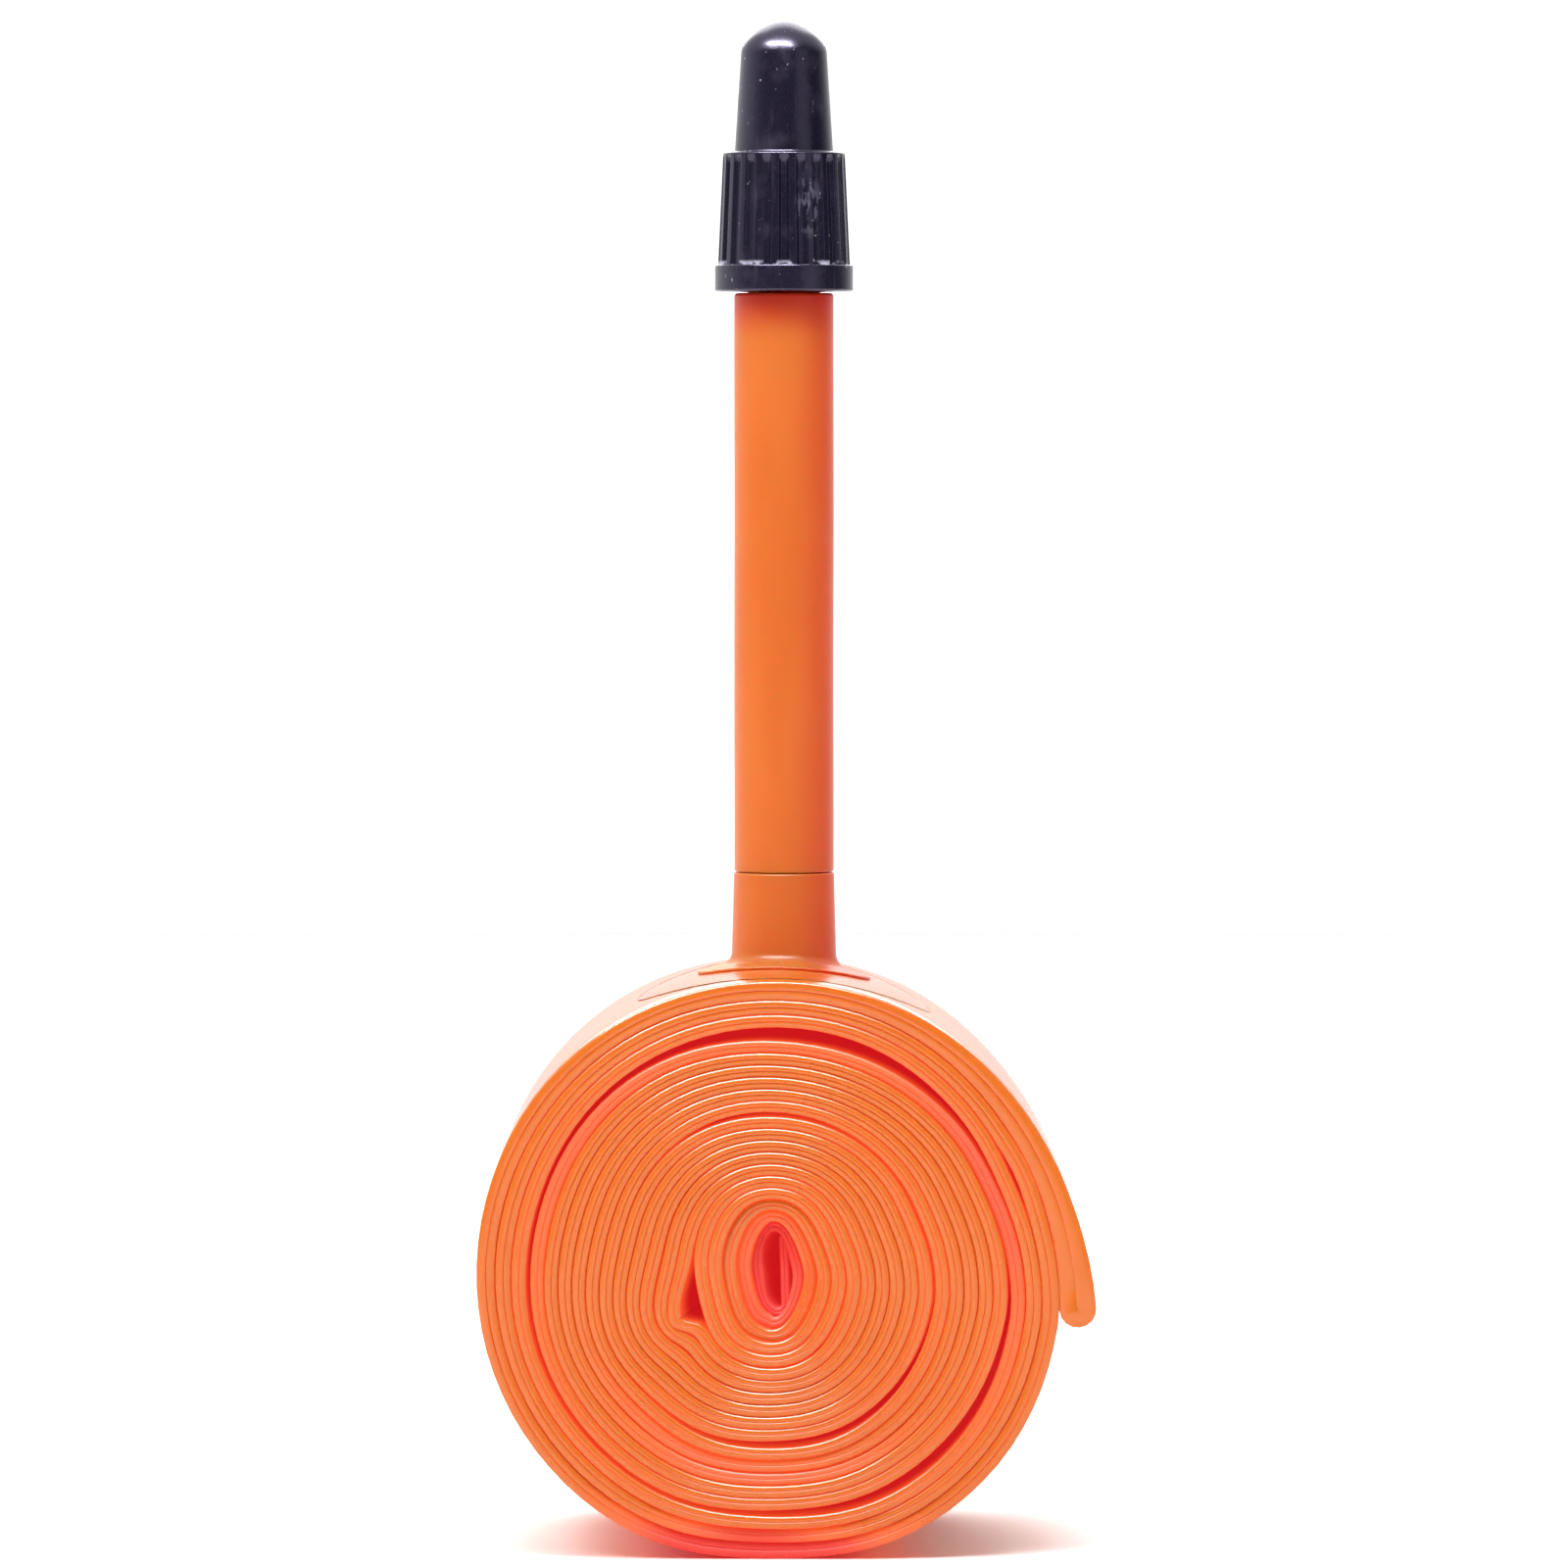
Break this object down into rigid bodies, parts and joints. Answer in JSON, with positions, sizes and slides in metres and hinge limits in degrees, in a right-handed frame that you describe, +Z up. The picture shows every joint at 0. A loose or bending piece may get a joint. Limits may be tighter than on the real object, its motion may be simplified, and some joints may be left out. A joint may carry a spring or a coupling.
{
  "type": "bicycle inner tube",
  "caption": "Light plastic-film bicycle inner tube, emptied, doubled and rolled up, standing on its roll with a long smooth valve stem upright and a ribbed dust cap on its needle valve.",
  "frame": {"origin": "on the surface that the roll stands on, under the middle of the whole part, which is also the axis of the valve stem", "axes": "+Z up along the valve stem, +Y back along the axis of the roll, +X to the right towards the loose end of the roll"},
  "size_m": [0.0369, 0.03, 0.0919],
  "materials": {
    "tube_film": "smooth, slightly glossy orange plastic film",
    "stem_moulding": "satin moulded orange elastomer",
    "neck_plastic": "satin hard orange plastic with a moulded thread",
    "core_metal": "bright turned metal, nickel plated",
    "seal_rubber": "matt black rubber",
    "cap_plastic": "satin black moulded plastic with fine dust"
  },
  "bodies": {
    "tube": {"tube_casing": "tube_film", "valve_patch": "tube_film", "valve_base": "stem_moulding", "valve_stem": "stem_moulding", "threaded_neck": "neck_plastic", "core_body": "core_metal", "core_gasket": "seal_rubber"},
    "cap": {"dust_cap": "cap_plastic"},
    "lock_nut": {"lock_nut": "core_metal"},
    "pin": {"core_pin": "core_metal", "pin_seal": "seal_rubber", "pin_foot": "core_metal"}
  },
  "joints": [
    {"name": "cap_lift", "type": "slide", "parent": "tube", "child": "cap", "axis": [0, 0, 1], "range_m": [0, 0.018]},
    {"name": "lock_nut_turn", "type": "hinge", "parent": "tube", "child": "lock_nut", "pos_m": [0, 0, 0.083], "axis": [0, 0, 1], "range_deg": [0, 1440]},
    {"name": "pin_drop", "type": "slide", "parent": "tube", "child": "pin", "axis": [0, 0, 1], "range_m": [-0.002, 0]}
  ],
  "couplings": [
    {"joint": "lock_nut_turn", "follows": "pin_drop", "rad_per_m": -12566}
  ]
}
